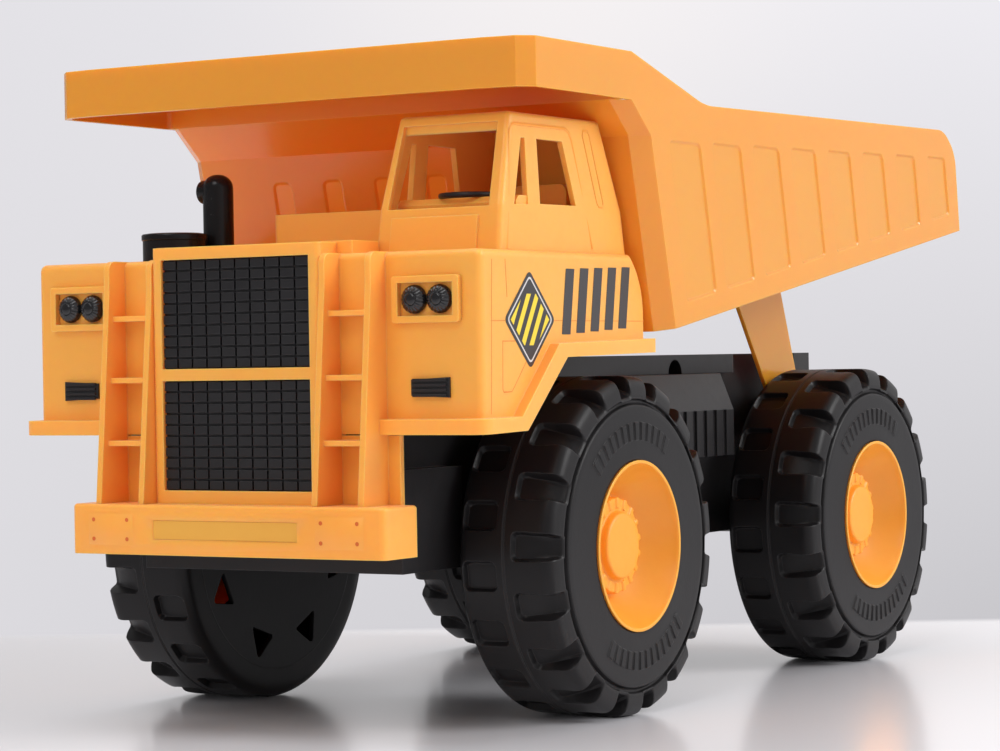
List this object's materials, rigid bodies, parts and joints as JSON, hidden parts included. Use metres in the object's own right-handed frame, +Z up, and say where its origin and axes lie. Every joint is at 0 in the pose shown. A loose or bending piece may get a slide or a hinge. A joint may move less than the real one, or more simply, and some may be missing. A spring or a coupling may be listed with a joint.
{
  "type": "toy dump truck",
  "caption": "Toy mining dump truck with a moulded body and cab, a black chassis, a pressed tipping bed with a canopy and free-rolling wheels.",
  "frame": {"origin": "on the ground under the middle of the whole toy", "axes": "+Z up, the truck faces -Y, +X is the truck's left"},
  "size_m": [0.2, 0.406, 0.2334],
  "materials": {
    "body_yellow": "glossy moulded, yellow-orange",
    "bed_yellow": "gloss paint on pressed sheet, yellow-orange",
    "black_plastic": "satin moulded, black",
    "tyre_black": "satin moulded, black",
    "rod_steel": "drawn rod, bright"
  },
  "bodies": {
    "truck": {"air_cleaner": "black_plastic", "axle_front": "rod_steel", "axle_rear": "rod_steel", "body_shell": "body_yellow", "bumper": "body_yellow", "cab": "body_yellow", "cab_seat": "body_yellow", "chassis": "black_plastic", "exhaust_stack": "black_plastic", "grille_lower": "black_plastic", "grille_upper": "black_plastic", "headlamp_bezel_left": "body_yellow", "headlamp_bezel_right": "body_yellow", "headlamps_left": "black_plastic", "headlamps_right": "black_plastic", "hinge_pin": "rod_steel", "side_tank_left": "black_plastic", "side_tank_right": "black_plastic", "steering_wheel": "black_plastic", "vent_left": "black_plastic", "vent_right": "black_plastic"},
    "bed": {"bed": "bed_yellow", "bed_leg_left": "bed_yellow", "bed_leg_right": "bed_yellow"},
    "wheel_front_left": {"tyre_front_left": "tyre_black", "rim_front_left": "body_yellow", "hub_cap_front_left": "body_yellow"},
    "wheel_front_right": {"tyre_front_right": "tyre_black", "rim_front_right": "body_yellow", "hub_cap_front_right": "body_yellow"},
    "wheel_rear_left": {"tyre_rear_left": "tyre_black", "rim_rear_left": "body_yellow", "hub_cap_rear_left": "body_yellow"},
    "wheel_rear_right": {"tyre_rear_right": "tyre_black", "rim_rear_right": "body_yellow", "hub_cap_rear_right": "body_yellow"}
  },
  "joints": [
    {"name": "bed_tip", "type": "hinge", "parent": "truck", "child": "bed", "pos_m": [0, 0.122, 0.1], "axis": [-1, 0, 0], "range_deg": [0, 50]},
    {"name": "wheel_front_left_spin", "type": "hinge", "parent": "truck", "child": "wheel_front_left", "pos_m": [0.0775, -0.0886, 0.06], "axis": [1, 0, 0], "continuous": true},
    {"name": "wheel_front_right_spin", "type": "hinge", "parent": "truck", "child": "wheel_front_right", "pos_m": [-0.0775, -0.0886, 0.06], "axis": [1, 0, 0], "continuous": true},
    {"name": "wheel_rear_left_spin", "type": "hinge", "parent": "truck", "child": "wheel_rear_left", "pos_m": [0.0775, 0.1154, 0.06], "axis": [1, 0, 0], "continuous": true},
    {"name": "wheel_rear_right_spin", "type": "hinge", "parent": "truck", "child": "wheel_rear_right", "pos_m": [-0.0775, 0.1154, 0.06], "axis": [1, 0, 0], "continuous": true}
  ]
}
